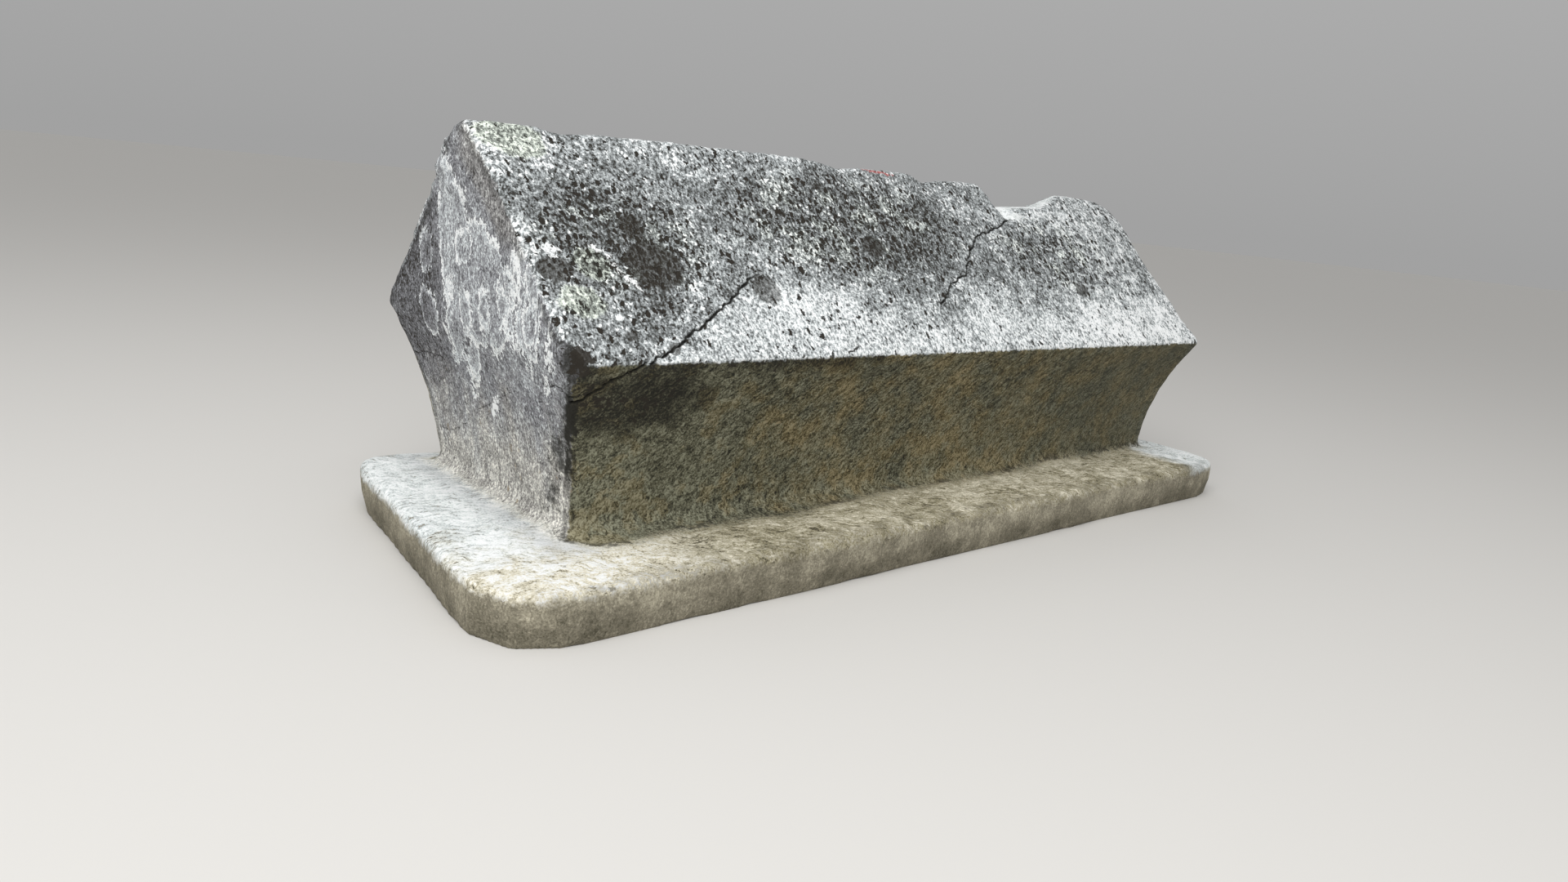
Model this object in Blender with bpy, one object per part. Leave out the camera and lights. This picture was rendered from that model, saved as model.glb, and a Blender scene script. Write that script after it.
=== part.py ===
"""Medieval gabled tombstone: a house-shaped limestone block on a low base slab, cut from one stone.

The stone lies along X with its front towards -Y, and stands on the underside of its base at z = 0.
It is a stack of plan outlines, from the underside up to the ridge, skinned into one closed mesh.
The breaks, a ridge notch, a broken eave corner and two cracks, are then cut out of it.
"""

import math

import bmesh
import bpy
from mathutils import Vector, noise

# Gabled block, in metres; its walls lean out from the foot to the eave by the two flares,
# and the back wall is fuller than the front one at the middle of its height
EAVE_LENGTH = 1.90
EAVE_WIDTH = 0.68
END_FLARE = 0.065
SIDE_FLARE = 0.090
FLARE_POWER = 2.0
BACK_FULLNESS = 0.018
WALL_HEIGHT = 0.302
ROOF_RISE = 0.358
RIDGE_SETBACK = 0.002
RIDGE_SHIFT = -0.021
ARRIS_RADIUS = 0.012
EAVE_ROUNDING = 0.007

# Base slab, in metres; the ledges are how far it stands out beyond the block's foot
LEDGE_FRONT = 0.200
LEDGE_RIGHT = 0.125
LEDGE_BACK = 0.0985
LEDGE_LEFT = 0.231
BASE_THICKNESS = 0.095
BASE_EDGE_RADIUS = 0.016
BASE_TOP_FALL = 0.006
BASE_BACK_LEFT_INSET = 0.10
BASE_BACK_RIGHT_INSET = 0.026
BASE_FRONT_RIGHT_INSET = 0.014
BASE_CORNER_RADII = {"front_left": 0.16, "front_right": 0.08, "back_right": 0.06, "back_left": 0.07}
BASE_UNDERSIDE_INSET = 0.008

# Hollow between the walls and the base
FILLET_HEIGHT = 0.026
FILLET_WIDTHS = {"front": 0.016, "right": 0.024, "back": 0.034, "left": 0.024}

# Swelling of the front wall's foot beyond its hollow, at shares of half the block's length
FOOT_SWELLING = (
    (-0.94, 0.000), (-0.86, 0.042), (-0.78, 0.034), (-0.45, 0.038), (-0.14, 0.014),
    (0.30, 0.014), (0.50, 0.000),
)

# Worn ridge: how far its crest lies below the roof's sharp apex, at shares of half its length
RIDGE_WEAR = (
    (-1.00, 0.024), (-0.985, 0.014), (-0.95, 0.012), (-0.86, 0.014), (-0.82, 0.021), (-0.76, 0.014),
    (-0.60, 0.010), (-0.40, 0.006), (-0.20, 0.009), (-0.11, 0.022), (-0.04, 0.013), (0.12, 0.012),
    (0.175, 0.027), (0.25, 0.016), (0.37, 0.015), (0.73, 0.021), (0.80, 0.018), (0.93, 0.024), (1.00, 0.038),
)
CREST_SLOPE = 0.25
RIDGE_HALF_WIDTH = 0.012

# Fullness of the four gable edges, where minus is worn hollow, and how far in it reaches
GABLE_FULLNESS = {"front_left": 0.012, "back_left": 0.020, "front_right": -0.023, "back_right": -0.006}
GABLE_REACH = 0.16

# Hand-dressed unevenness of all faces, and the rougher edge of the base
FACE_UNEVENNESS = 0.0045
FACE_WAVE = 0.21
BASE_UNEVENNESS = 0.012
BASE_WAVE = 0.34

# Ridge notch: places along half the block, depths below the sharp apex, and how the floor falls forwards
NOTCH_FLOOR = (
    (0.325, -0.030, 0.50), (0.372, 0.030, 0.62), (0.430, 0.067, 0.20), (0.530, 0.061, 0.02),
    (0.615, 0.055, -0.10), (0.665, 0.038, -0.05), (0.715, 0.018, 0.10), (0.760, -0.030, 0.20),
)
NOTCH_BACK_FALL = 0.25
NOTCH_REACH = 0.16

# Cracks: along the block and up the roof or the wall, as shares; sizes in metres
NOTCH_CRACK = (
    (0.415, 0.755), (0.327, 0.681), (0.220, 0.617), (0.190, 0.560), (0.158, 0.512), (0.130, 0.450),
    (0.103, 0.392), (0.066, 0.370), (0.022, 0.328), (-0.002, 0.290), (-0.016, 0.256), (-0.040, 0.236),
)
CORNER_CRACK_ON_ROOF = (
    (-0.547, 0.349), (-0.595, 0.283), (-0.647, 0.223), (-0.692, 0.166), (-0.752, 0.100),
    (-0.796, 0.047), (-0.830, 0.030),
)
CORNER_CRACK_AT_EAVE = -0.852
CORNER_CRACK_ON_WALL = ((-0.880, 0.965), (-0.917, 0.892), (-0.945, 0.830), (-0.974, 0.770), (-1.000, 0.720))
CRACK_WIDTH = 0.005
CRACK_DEPTH = 0.014
CRACK_LIFT = 0.010

# Broken tip of the front left eave corner: how far along each edge from the corner it reaches
CHIP_UP_GABLE = 0.036
CHIP_ALONG_EAVE = 0.040
CHIP_DOWN_CORNER = 0.056
CHIP_HOLLOW = 0.006
CHIP_OVERSHOOT = 0.06

# How finely the outlines are divided
LONG_SIDE_STEPS = 34
SHORT_SIDE_STEPS = 12
WALL_ROWS = 6
ROOF_ROWS = 6

SIDES = ("front", "right", "back", "left")
CORNERS = ("front_left", "front_right", "back_right", "back_left")
INWARD = {"front": Vector((0, 1)), "right": Vector((-1, 0)), "back": Vector((0, -1)), "left": Vector((1, 0))}
FOOT_LENGTH = EAVE_LENGTH - 2 * END_FLARE
FOOT_WIDTH = EAVE_WIDTH - 2 * SIDE_FLARE
RIDGE_LENGTH = EAVE_LENGTH - 2 * RIDGE_SETBACK
BASE_LENGTH = FOOT_LENGTH + LEDGE_LEFT + LEDGE_RIGHT
BASE_WIDTH = FOOT_WIDTH + LEDGE_FRONT + LEDGE_BACK
BLOCK_SHIFT_X = (LEDGE_LEFT - LEDGE_RIGHT) / 2
BLOCK_SHIFT_Y = (LEDGE_FRONT - LEDGE_BACK) / 2
EAVE_Z = BASE_THICKNESS + WALL_HEIGHT
APEX_Z = EAVE_Z + ROOF_RISE
ARC_MIDDLE = 1 - math.sqrt(0.5)


def clear_scene():
    for item in list(bpy.data.objects):
        bpy.data.objects.remove(item, do_unlink=True)


def mix(start, end, share):
    return start + (end - start) * share


def along_points(points, place):
    """Value at a place along a list of (place, value) points, straight between them."""
    if place <= points[0][0]:
        return points[0][1]
    for (start, low), (end, high) in zip(points, points[1:]):
        if place <= end:
            return mix(low, high, (place - start) / (end - start))
    return points[-1][1]


def block_corners(length, width, shift=0.0, outset=None):
    """Plan corners of a rectangle about the block's middle, each side moved out by its own amount."""
    outset = outset or dict.fromkeys(SIDES, 0.0)
    left = BLOCK_SHIFT_X + shift - length / 2 - outset["left"]
    right = BLOCK_SHIFT_X + shift + length / 2 + outset["right"]
    front = BLOCK_SHIFT_Y - width / 2 - outset["front"]
    back = BLOCK_SHIFT_Y + width / 2 + outset["back"]
    return dict(zip(CORNERS, (Vector(p) for p in ((left, front), (right, front), (right, back), (left, back)))))


def base_corners(inset):
    """Plan corners of the base, whose sides are neither quite parallel nor quite square."""
    half_length = BASE_LENGTH / 2 - inset
    half_width = BASE_WIDTH / 2 - inset
    return {
        "front_left": Vector((-half_length, -half_width)),
        "front_right": Vector((half_length, -half_width + BASE_FRONT_RIGHT_INSET)),
        "back_right": Vector((half_length - BASE_BACK_RIGHT_INSET, half_width)),
        "back_left": Vector((-half_length + BASE_BACK_LEFT_INSET, half_width)),
    }


def side_shares(length, steps, arris):
    """Shares along a side, even but for one narrow step beside each corner."""
    edge = min(arris / length, 0.25 / steps)
    return [0.0] + [mix(edge, 1 - edge, i / steps) for i in range(steps + 1)] + [1.0]


def side_points(side, corners, radii, shares):
    """Plan points along one side, curving in to the middle of the rounded corner at each end."""
    index = SIDES.index(side)
    names = CORNERS[index], CORNERS[(index + 1) % len(CORNERS)]
    start, end = (corners[name] for name in names)
    length = (end - start).length
    first, last = (radii[name] * ARC_MIDDLE for name in names)
    points = []
    for share in shares:
        along = mix(first, length - last, share)
        dip = 0.0
        for radius, distance in ((radii[names[0]], along), (radii[names[1]], length - along)):
            reach = max(radius - distance, 0.0)
            dip += radius - math.sqrt(max(radius**2 - reach**2, 0.0))
        points.append(start + (end - start) * (along / length) + INWARD[side] * dip)
    return points


class Row:
    """One closed plan outline of the stone, as four chains of vertices that share their corners."""

    def __init__(self, mesh, corners, radii, height, short_shares=None):
        self.chains = {}
        for side in SIDES:
            index = SIDES.index(side)
            length = (corners[CORNERS[index]] - corners[CORNERS[(index + 1) % 4]]).length
            if side in ("front", "back"):
                shares = side_shares(length, LONG_SIDE_STEPS, ARRIS_RADIUS)
            else:
                steps = max(2, round(SHORT_SIDE_STEPS * length / EAVE_WIDTH))
                shares = short_shares or side_shares(length, min(steps, SHORT_SIDE_STEPS), ARRIS_RADIUS)
            points = side_points(side, corners, radii, shares)
            start = self.chains[SIDES[index - 1]][-1] if index else None
            end = self.chains["front"][0] if side == "left" else None
            middle = points[1 if start else 0:-1 if end else None]
            made = [mesh.verts.new((p.x, p.y, height(p.x, p.y))) for p in middle]
            self.chains[side] = ([start] if start else []) + made + ([end] if end else [])


def stitch(mesh, lower, upper):
    """Faces between two chains: quads where they match, else triangles that close up the difference."""
    i = j = 0
    if len(lower) == len(upper):
        for i in range(len(lower) - 1):
            mesh.faces.new((lower[i], lower[i + 1], upper[i + 1], upper[i]))
        return
    while i < len(lower) - 1 or j < len(upper) - 1:
        lower_share = (i + 1) / (len(lower) - 1)
        upper_share = (j + 1) / (len(upper) - 1)
        if j == len(upper) - 1 or (i < len(lower) - 1 and lower_share <= upper_share):
            mesh.faces.new((lower[i], lower[i + 1], upper[j]))
            i += 1
        else:
            mesh.faces.new((lower[i], upper[j + 1], upper[j]))
            j += 1


def base_rows(mesh):
    """Outlines of the slab: underside, side, rounded top edge and the start of its top."""
    rounding = [(BASE_EDGE_RADIUS * (1 - math.cos(turn)), BASE_EDGE_RADIUS * (1 - math.sin(turn)))
                for turn in (0.0, math.pi / 6, math.pi / 3, math.pi / 2)]
    levels = [(BASE_UNDERSIDE_INSET, 0.0), (0.0, BASE_THICKNESS * 0.45)]
    levels += [(inset, BASE_THICKNESS - BASE_TOP_FALL - drop) for inset, drop in rounding]
    rows = []
    for inset, z in levels:
        radii = {name: radius - inset for name, radius in BASE_CORNER_RADII.items()}
        rows.append(Row(mesh, base_corners(inset), radii, lambda x, y, z=z: z))
    return rows


def fillet_rows(mesh):
    """Outlines of the hollow that leads from the top of the base into the walls."""
    rows = []
    for turn in (0.0, math.pi / 6, math.pi / 3):
        out = 1 - math.sin(turn)
        z = BASE_THICKNESS + FILLET_HEIGHT * (1 - math.cos(turn))
        outset = {side: width * out for side, width in FILLET_WIDTHS.items()}
        corners = block_corners(FOOT_LENGTH, FOOT_WIDTH, outset=outset)
        radii = dict.fromkeys(CORNERS, ARRIS_RADIUS + FILLET_HEIGHT * out)
        row = Row(mesh, corners, radii, lambda x, y, z=z: z)
        for vertex in row.chains["front"]:
            place = (vertex.co.x - BLOCK_SHIFT_X) / (EAVE_LENGTH / 2)
            vertex.co.y -= along_points(FOOT_SWELLING, place) * out
        rows.append(row)
    return rows


def wall_size(share):
    """Length and width of the block at a share of its wall's height."""
    flare = share**FLARE_POWER
    return mix(FOOT_LENGTH, EAVE_LENGTH, flare), mix(FOOT_WIDTH, EAVE_WIDTH, flare)


def wall_rows(mesh):
    """Outlines of the four walls, which lean out in a hollow curve towards the eave."""
    start = FILLET_HEIGHT / WALL_HEIGHT
    end = 1 - EAVE_ROUNDING / WALL_HEIGHT
    shares = [mix(start, end, i / WALL_ROWS) for i in range(WALL_ROWS + 1)]
    radii = dict.fromkeys(CORNERS, ARRIS_RADIUS)
    rows = []
    for share in shares:
        z = BASE_THICKNESS + WALL_HEIGHT * share
        outset = dict.fromkeys(SIDES, 0.0) | {"back": BACK_FULLNESS * math.sin(math.pi * share)}
        corners = block_corners(*wall_size(share), outset=outset)
        rows.append(Row(mesh, corners, radii, lambda x, y, z=z: z))
    return rows


def crest_height(x):
    """Height of the worn ridge at a place along it."""
    place = (x - BLOCK_SHIFT_X - RIDGE_SHIFT) / (RIDGE_LENGTH / 2)
    return APEX_Z - along_points(RIDGE_WEAR, place)


def gable_fullness(x, y, share):
    """Rise or wear of the roof near a gable edge, most at the middle of its slope."""
    from_left = x - (BLOCK_SHIFT_X - EAVE_LENGTH / 2)
    from_right = BLOCK_SHIFT_X + EAVE_LENGTH / 2 - x
    face = "front" if y < BLOCK_SHIFT_Y else "back"
    end, distance = ("left", from_left) if from_left < from_right else ("right", from_right)
    near = max(0.0, 1 - max(distance, 0.0) / GABLE_REACH)
    return GABLE_FULLNESS[f"{face}_{end}"] * near**2 * math.sin(math.pi * share)


def roof_height(share):
    """Height function of one roof outline: its slope, worn down to the crest and at the gable edges."""
    def height(x, y):
        slope = EAVE_Z + ROOF_RISE * share + gable_fullness(x, y, share)
        return min(slope, crest_height(x) - CREST_SLOPE * abs(y - BLOCK_SHIFT_Y))
    return height


def roof_corners(share):
    length = mix(EAVE_LENGTH, RIDGE_LENGTH, share)
    return block_corners(length, EAVE_WIDTH * (1 - share), RIDGE_SHIFT * share)


def roof_rows(mesh):
    """Outlines of the roof, from the rounded eave edge up to the last one beside the ridge."""
    first = EAVE_ROUNDING / ROOF_RISE
    last = 1 - RIDGE_HALF_WIDTH / (EAVE_WIDTH / 2)
    inset = dict.fromkeys(SIDES, -EAVE_ROUNDING / 3)
    radii = dict.fromkeys(CORNERS, ARRIS_RADIUS)
    rows = [Row(mesh, block_corners(EAVE_LENGTH, EAVE_WIDTH, outset=inset), radii, lambda x, y: EAVE_Z)]
    for i in range(ROOF_ROWS):
        share = mix(first, last, i / ROOF_ROWS)
        rows.append(Row(mesh, roof_corners(share), radii, roof_height(share)))
    sharp = dict.fromkeys(CORNERS, 0.0)
    rows.append(Row(mesh, roof_corners(last), sharp, roof_height(last), short_shares=[0.0, 0.5, 1.0]))
    return rows


def close_ridge(mesh, row):
    """The worn crest between the two uppermost edges of the roof."""
    front, right, back, left = (row.chains[side] for side in SIDES)
    crest = [left[1]]
    for vertex in front[1:-1]:
        crest.append(mesh.verts.new((vertex.co.x, BLOCK_SHIFT_Y, crest_height(vertex.co.x))))
    crest.append(right[1])
    stitch(mesh, front, crest)
    stitch(mesh, back, crest[::-1])


def roughen(mesh):
    """Moves every face a little in or out, as hand dressing and weather leave it."""
    mesh.normal_update()
    moved = []
    for vertex in mesh.verts:
        on_base = vertex.co.z < BASE_THICKNESS - BASE_TOP_FALL / 2
        size, wave = (BASE_UNEVENNESS, BASE_WAVE) if on_base else (FACE_UNEVENNESS, FACE_WAVE)
        place = vertex.co / wave
        amount = size * (noise.noise(place) + 0.5 * noise.noise(place * 2.7))
        step = vertex.normal * amount
        if vertex.co.z == 0:
            step.z = 0
        moved.append(vertex.co + step)
    for vertex, place in zip(mesh.verts, moved):
        vertex.co = place


def build_block():
    """The whole stone before its breaks: rows stitched in order, closed below and at the ridge."""
    mesh = bmesh.new()
    rows = base_rows(mesh) + fillet_rows(mesh) + wall_rows(mesh) + roof_rows(mesh)
    for lower, upper in zip(rows, rows[1:]):
        for side in SIDES:
            stitch(mesh, lower.chains[side], upper.chains[side])
    underside = [vertex for side in SIDES for vertex in rows[0].chains[side][:-1]]
    mesh.faces.new(underside[::-1])
    close_ridge(mesh, rows[-1])
    roughen(mesh)
    return make_object("tombstone", mesh)


def make_object(name, mesh):
    """Turns a closed mesh into an object, in triangles, which keep a Boolean exact on its curved faces."""
    bmesh.ops.triangulate(mesh, faces=mesh.faces)
    data = bpy.data.meshes.new(name)
    mesh.to_mesh(data)
    mesh.free()
    item = bpy.data.objects.new(name, data)
    bpy.context.scene.collection.objects.link(item)
    return item


def make_cutter(name, points, faces):
    """A closed guide solid that is cut out of the stone and never shown."""
    mesh = bmesh.new()
    corners = [mesh.verts.new(point) for point in points]
    for face in faces:
        mesh.faces.new([corners[i] for i in face])
    bmesh.ops.recalc_face_normals(mesh, faces=mesh.faces)
    item = make_object(name, mesh)
    item.hide_render = True
    item.display_type = "WIRE"
    return item


def cut(stone, cutter):
    """Takes a cutter out of the stone with a Boolean that stays live."""
    step = stone.modifiers.new(cutter.name, "BOOLEAN")
    step.operation = "DIFFERENCE"
    step.solver = "EXACT"
    step.object = cutter


def notch_cutter():
    """The piece lost from the ridge: its floor falls a little towards both slopes."""
    top = APEX_Z + NOTCH_REACH
    front, crest, back = [], [], []
    for place, depth, front_fall in NOTCH_FLOOR:
        x = BLOCK_SHIFT_X + place * EAVE_LENGTH / 2
        z = APEX_Z - depth
        front.append((x, BLOCK_SHIFT_Y - NOTCH_REACH, z - NOTCH_REACH * front_fall))
        crest.append((x, BLOCK_SHIFT_Y, z))
        back.append((x, BLOCK_SHIFT_Y + NOTCH_REACH, z - NOTCH_REACH * NOTCH_BACK_FALL))
    lines = (front, crest, back)
    count = len(NOTCH_FLOOR)
    roof = [(x, y, top) for line in lines for x, y, z in line]
    points = [point for line in lines for point in line] + roof
    lift = len(lines) * count
    faces = []
    for row in range(len(lines) - 1):
        for i in range(count - 1):
            a = row * count + i
            quad = (a, a + 1, a + 1 + count, a + count)
            faces += [quad, tuple(corner + lift for corner in quad[::-1])]
    rim = list(range(count)) + [count * 2 - 1]
    rim += list(range(count * 3 - 1, count * 2 - 1, -1)) + [count]
    for a, b in zip(rim, rim[1:] + rim[:1]):
        faces.append((a, b, b + lift, a + lift))
    return make_cutter("notch_cut", points, faces)


def roof_place(along, up):
    """Point and outward direction on the front slope."""
    y = BLOCK_SHIFT_Y - EAVE_WIDTH / 2 * (1 - up)
    normal = Vector((0, -ROOF_RISE, EAVE_WIDTH / 2)).normalized()
    return Vector((BLOCK_SHIFT_X + along * EAVE_LENGTH / 2, y, EAVE_Z + ROOF_RISE * up)), normal


def wall_place(along, up):
    """Point and outward direction on the front wall."""
    y = BLOCK_SHIFT_Y - wall_size(up)[1] / 2
    lean = SIDE_FLARE * FLARE_POWER * up ** (FLARE_POWER - 1)
    normal = Vector((0, -WALL_HEIGHT, -lean)).normalized()
    return Vector((BLOCK_SHIFT_X + along * EAVE_LENGTH / 2, y, BASE_THICKNESS + WALL_HEIGHT * up)), normal


def eave_place(along):
    """Point on the front eave, facing halfway between the slope and the wall."""
    point, up_normal = roof_place(along, 0.0)
    return point, (up_normal + wall_place(along, 1.0)[1]).normalized()


def crack_cutter(name, places):
    """A V-shaped groove that follows places on the surface, widest at its middle."""
    points = []
    for i, (point, normal) in enumerate(places):
        before = places[max(i - 1, 0)][0]
        after = places[min(i + 1, len(places) - 1)][0]
        across = (after - before).cross(normal).normalized()
        swell = 0.55 + 0.45 * math.sin(math.pi * i / (len(places) - 1))
        half = CRACK_WIDTH / 2 * swell * (1 + CRACK_LIFT / CRACK_DEPTH)
        for step in (across * half, -across * half):
            points.append(point + normal * CRACK_LIFT + step)
        points.append(point - normal * CRACK_DEPTH * swell)
    faces = [(0, 1, 2), tuple(len(points) - 3 + i for i in range(3))]
    for i in range(0, len(points) - 3, 3):
        for a, b in ((0, 1), (1, 2), (2, 0)):
            faces.append((i + a, i + b, i + b + 3, i + a + 3))
    return make_cutter(name, points, faces)


def chip_cutter():
    """The lost tip of the front left eave corner, with a slightly hollow break."""
    corner = Vector((BLOCK_SHIFT_X - EAVE_LENGTH / 2, BLOCK_SHIFT_Y - EAVE_WIDTH / 2, EAVE_Z))
    apex = Vector((BLOCK_SHIFT_X + RIDGE_SHIFT - RIDGE_LENGTH / 2, BLOCK_SHIFT_Y, APEX_Z))
    length, width = wall_size(1 - CHIP_DOWN_CORNER / WALL_HEIGHT)
    low = Vector((BLOCK_SHIFT_X - length / 2, BLOCK_SHIFT_Y - width / 2, EAVE_Z - CHIP_DOWN_CORNER))
    rim = [
        corner + (apex - corner).normalized() * CHIP_UP_GABLE,
        corner + Vector((CHIP_ALONG_EAVE, 0, 0)),
        low,
    ]
    middle = sum(rim, Vector()) / 3
    outward = (corner - middle).normalized()
    wide = [middle + (point - middle) * (1 + CHIP_OVERSHOOT / (point - middle).length) for point in rim]
    hollow = middle - outward * CHIP_HOLLOW
    tip = corner + outward * CHIP_OVERSHOOT
    faces = [(0, 1, 3), (1, 2, 3), (2, 0, 3), (1, 0, 4), (2, 1, 4), (0, 2, 4)]
    return make_cutter("chip_cut", wide + [hollow, tip], faces)


def limestone():
    """Weathered grey limestone."""
    material = bpy.data.materials.new("limestone")
    material.use_nodes = True
    shader = material.node_tree.nodes["Principled BSDF"]
    shader.inputs["Base Color"].default_value = (0.42, 0.42, 0.39, 1.0)
    shader.inputs["Roughness"].default_value = 0.9
    shader.inputs["Metallic"].default_value = 0.0
    return material


def main():
    clear_scene()
    stone = build_block()
    stone.data.materials.append(limestone())
    cut(stone, notch_cutter())
    cut(stone, chip_cutter())
    cut(stone, crack_cutter("notch_crack_cut", [roof_place(*place) for place in NOTCH_CRACK]))
    corner_crack = [roof_place(*place) for place in CORNER_CRACK_ON_ROOF]
    corner_crack.append(eave_place(CORNER_CRACK_AT_EAVE))
    corner_crack += [wall_place(*place) for place in CORNER_CRACK_ON_WALL]
    cut(stone, crack_cutter("corner_crack_cut", corner_crack))
    stone.data.shade_smooth()
    stone.data.set_sharp_from_angle(angle=math.radians(28))


main()
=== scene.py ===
"""Weathered look of a medieval gabled tombstone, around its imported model.

One block of limestone: a pitted, lichened roof with a broken ridge, hollow walls and a low base slab.
The stone lies along X with its front towards -Y and stands at z = 0.
"""
import math

import bmesh
import bpy
import numpy as np
from bpy.props import FloatProperty, FloatVectorProperty, IntProperty, PointerProperty
from bpy.types import Operator, Panel, PropertyGroup
from mathutils import Matrix, Vector, noise


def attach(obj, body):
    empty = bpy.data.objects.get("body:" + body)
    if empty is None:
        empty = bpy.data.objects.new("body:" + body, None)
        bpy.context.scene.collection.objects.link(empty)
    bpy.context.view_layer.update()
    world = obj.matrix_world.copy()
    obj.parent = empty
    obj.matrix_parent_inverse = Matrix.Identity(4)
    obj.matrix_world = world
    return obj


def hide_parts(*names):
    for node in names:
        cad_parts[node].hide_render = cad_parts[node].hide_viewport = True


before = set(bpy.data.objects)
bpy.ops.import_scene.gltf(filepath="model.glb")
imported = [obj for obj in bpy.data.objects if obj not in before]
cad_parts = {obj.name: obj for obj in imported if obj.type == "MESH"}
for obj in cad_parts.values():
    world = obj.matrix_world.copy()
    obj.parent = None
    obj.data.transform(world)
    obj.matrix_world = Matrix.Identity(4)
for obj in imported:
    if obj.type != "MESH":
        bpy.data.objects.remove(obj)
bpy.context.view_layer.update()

bl_info = {
    "name": "Weathered Tombstone",
    "version": (1, 0, 0),
    "blender": (4, 5, 0),
    "location": "View3D > Sidebar > Stone",
    "description": "Builds a weathered gabled limestone tombstone and its studio",
    "category": "Object",
}

# Places in the frame, in metres: middle of the block, its half sizes, and its heights
MIDDLE_X, MIDDLE_Y = 0.053, 0.05075
HALF_LENGTH, HALF_WIDTH = 0.95, 0.34
FOOT_HALF_LENGTH, FOOT_HALF_WIDTH = 0.885, 0.25
BASE_TOP, EAVE_Z, APEX_Z = 0.095, 0.397, 0.755
LEFT_LEAN, RIGHT_LEAN = -0.019, -0.023
SLOPE_LENGTH = math.hypot(HALF_WIDTH, APEX_Z - EAVE_Z)
SLOPE_ALONG = HALF_WIDTH / SLOPE_LENGTH
SLOPE_UP = (APEX_Z - EAVE_Z) / SLOPE_LENGTH

# Faces that the outlines lie on, with the metres that one share is worth along and up each
FACE_SIZES = {"roof": (HALF_LENGTH, SLOPE_LENGTH), "wall": (HALF_LENGTH, EAVE_Z - BASE_TOP),
              "end": (HALF_LENGTH, HALF_LENGTH)}

# How far outlines on a face reach past its end, and the roof's and the wall's past the eave
MARGIN, ROOF_OVERLAP, WALL_OVERLAP = 0.01, 0.006, 0.004

# How far the runs on the end lean forwards below the eave, along for each metre up
END_SLANT = 0.55

# Where the base's finish starts: metres out from the foot at the back and the ends, and rise for each metre
BACK_FOOT, END_FOOT, FOOT_RISE = 0.02, 0.012, 0.8

# Foot of the front wall on the base: place along, and distance from the block's middle, as shares
FOOT_LINE = (
    (-0.94, 0.274), (-0.922, 0.303), (-0.893, 0.325), (-0.841, 0.33), (-0.8, 0.317), (-0.76, 0.308),
    (-0.686, 0.311), (-0.555, 0.307), (-0.481, 0.324), (-0.28, 0.305), (-0.142, 0.284), (0.028, 0.29),
    (0.279, 0.286), (0.454, 0.267), (0.708, 0.263), (0.924, 0.268),
)

# Upper limit of the rain-washed pale band above the eave: place along, and share up the slope
WASHED_LINE = (
    (-1.00, 0.03), (-0.86, -0.02), (-0.83, 0.03), (-0.752, 0.1), (-0.692, 0.166), (-0.647, 0.223),
    (-0.595, 0.283), (-0.547, 0.345), (-0.49, 0.345), (-0.42, 0.31), (-0.29, 0.26), (-0.2, 0.18),
    (-0.09, 0.15), (0.02, 0.225), (0.1, 0.29), (0.2, 0.27), (0.32, 0.235), (0.5, 0.24),
    (0.73, 0.26), (0.88, 0.33), (1.00, 0.42),
)

# Fresh floor of the ridge notch: its span in shares, least height above the eave, depth below the roof
NOTCH_SPAN, NOTCH_HEIGHT, NOTCH_DEPTH = (0.34, 0.78), 0.18, 0.011

# Growths and stains, by kind and face: ovals, each with its middle in shares and its half sizes in metres
PATCHES = {
    ("dark", "roof"): [(-0.76, 0.385, 0.055, 0.05), (-0.778, 0.55, 0.022, 0.024),
        (-0.963, 0.352, 0.03, 0.025), (-0.525, 0.297, 0.03, 0.032), (-0.24, 0.826, 0.017, 0.009),
        (-0.165, 0.525, 0.034, 0.026), (0.548, 0.33, 0.03, 0.021), (-0.863, 0.11, 0.012, 0.008),
        (-0.79, 0.052, 0.014, 0.01)],
    ("white", "roof"): [(-0.958, 0.425, 0.016, 0.011)],
    ("white", "end"): [(-0.1, 0.178, 0.012, 0.024)],
    ("crust", "roof"): [(-0.887, 0.385, 0.036, 0.031), (-0.935, 0.236, 0.042, 0.03),
        (-0.945, 0.9, 0.06, 0.045)],
    ("pitted", "roof"): [(-0.19, 0.63, 0.31, 0.12), (-0.81, 0.5, 0.15, 0.11), (0.51, 0.54, 0.18, 0.09)],
    ("lace", "end"): [(-0.045, 0.385, 0.135, 0.085), (-0.03, 0.45, 0.078, 0.06),
        (0.046, 0.48, 0.056, 0.125), (-0.228, 0.4, 0.042, 0.095), (0.165, 0.44, 0.022, 0.03),
        (-0.107, 0.327, 0.026, 0.055), (-0.024, 0.275, 0.018, 0.062), (-0.185, 0.342, 0.018, 0.036),
        (0.056, 0.32, 0.032, 0.045), (0.158, 0.327, 0.038, 0.042), (0.054, 0.262, 0.012, 0.018),
        (-0.283, 0.308, 0.009, 0.042)],
    ("bare", "roof"): [(0.44, 0.772, 0.05, 0.016)],
    ("lace", "roof"): [(-0.95, 0.88, 0.08, 0.055)],
    ("rim", "end"): [(0.062, 0.384, 0.017, 0.026), (0.002, 0.347, 0.02, 0.034),
        (-0.069, 0.355, 0.022, 0.04), (-0.143, 0.385, 0.022, 0.036), (-0.182, 0.428, 0.016, 0.032),
        (-0.234, 0.435, 0.016, 0.034), (-0.228, 0.365, 0.018, 0.03), (-0.002, 0.466, 0.03, 0.03)],
    ("stain", "wall"): [(-0.83, 0.8, 0.11, 0.05), (-0.93, 0.8, 0.05, 0.05)],
    ("stain", "end"): [(-0.346, 0.155, 0.014, 0.06)],
}

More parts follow.
